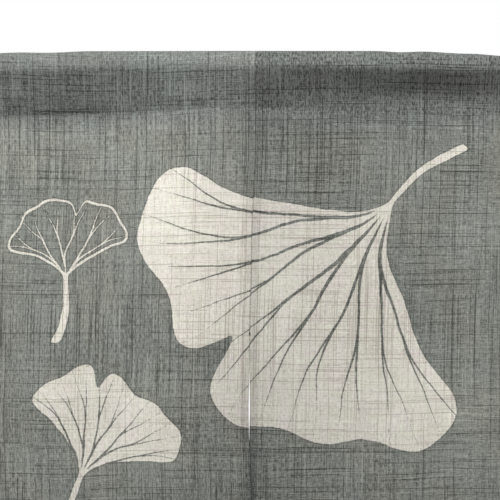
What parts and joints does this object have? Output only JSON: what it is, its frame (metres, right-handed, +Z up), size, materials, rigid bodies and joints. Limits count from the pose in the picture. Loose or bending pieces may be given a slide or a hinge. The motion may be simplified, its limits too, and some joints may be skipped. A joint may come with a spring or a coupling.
{
  "type": "noren curtain",
  "caption": "Split doorway curtain in slubby grey-green hemp with a rod pocket along its top, a seam at the middle and a slit below it, patterned with pale leaves.",
  "frame": {"origin": "middle of the top edge, where a rod in the pocket carries the curtain", "axes": "+Z up, front towards -Y, +X to the right as seen from the front"},
  "size_m": [0.88, 0.0295, 1.5],
  "materials": {
    "hemp_cloth": "matt hand-woven hemp with thick and thin threads, dyed grey-green, with leaves left in the undyed cream"
  },
  "bodies": {
    "root": {"left_panel": "hemp_cloth", "right_panel": "hemp_cloth"}
  },
  "joints": []
}
